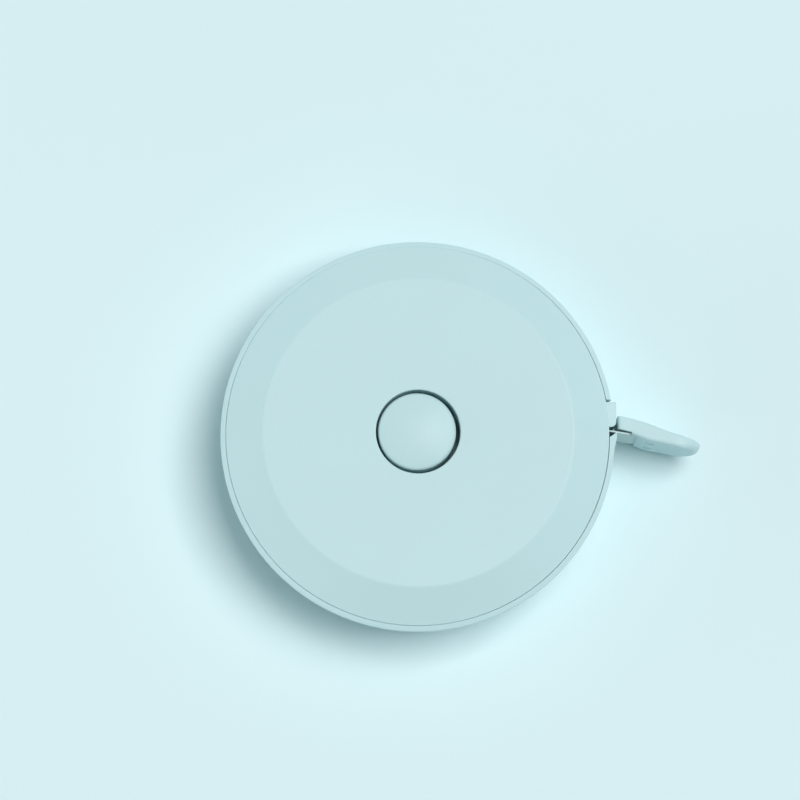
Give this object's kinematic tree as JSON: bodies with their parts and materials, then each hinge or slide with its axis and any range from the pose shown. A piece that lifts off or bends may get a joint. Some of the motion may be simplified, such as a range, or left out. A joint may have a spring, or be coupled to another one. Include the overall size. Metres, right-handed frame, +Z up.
{
  "type": "retractable sewing tape measure",
  "caption": "Round pocket tape measure: a bevelled two-shell case with a domed release button, and a tape with a pull tab that winds back on a sprung reel.",
  "frame": {"origin": "middle of the flat back of the case", "axes": "+Z up through the button, out of the top face; +X towards the mouth that the tape leaves by"},
  "size_m": [0.0611, 0.05, 0.015],
  "materials": {
    "case_plastic": "semi-matte pale mint moulding",
    "reel_plastic": "natural white moulding",
    "brake_rubber": "matt",
    "spring_steel": "bright rolled strip and wire",
    "tape_cloth": "coated woven tape with plain printed graduations"
  },
  "bodies": {
    "case": {"lower_shell": "case_plastic", "upper_shell": "case_plastic", "button_spring": "spring_steel", "power_spring": "spring_steel", "tape_run": "tape_cloth"},
    "reel": {"reel_drum": "reel_plastic", "reel_lid": "reel_plastic", "spring_plate": "spring_steel", "tape_coil": "tape_cloth"},
    "button": {"push_button": "case_plastic", "brake_ring": "brake_rubber"},
    "tape_tip": {"tape_exit": "tape_cloth"},
    "tab": {"pull_tab": "case_plastic", "tape_end": "tape_cloth", "tab_peg_upper": "case_plastic", "tab_peg_lower": "case_plastic"}
  },
  "joints": [
    {"name": "button_press", "type": "slide", "parent": "case", "child": "button", "axis": [0, 0, -1], "range_m": [0, 0.001], "stiffness_N_per_m": 1500, "springref_m": -0.0008, "deforming": ["button_spring"]},
    {"name": "reel_spin", "type": "hinge", "parent": "case", "child": "reel", "pos_m": [0, 0, 0.00595], "axis": [0, 0, -1], "range_deg": [0, 4320], "deforming": ["power_spring"]},
    {"name": "tape_pull", "type": "slide", "parent": "case", "child": "tape_tip", "axis": [0.9877, -0.1564, 0], "range_m": [0, 1.412]},
    {"name": "tab_swing", "type": "hinge", "parent": "tape_tip", "child": "tab", "pos_m": [0.02673, 0.00043, 0.00595], "axis": [0, 0, -1], "range_deg": [0, 60]}
  ],
  "couplings": [
    {"joint": "tape_pull", "follows": "reel_spin", "m_per_rad": 0.01872}
  ]
}
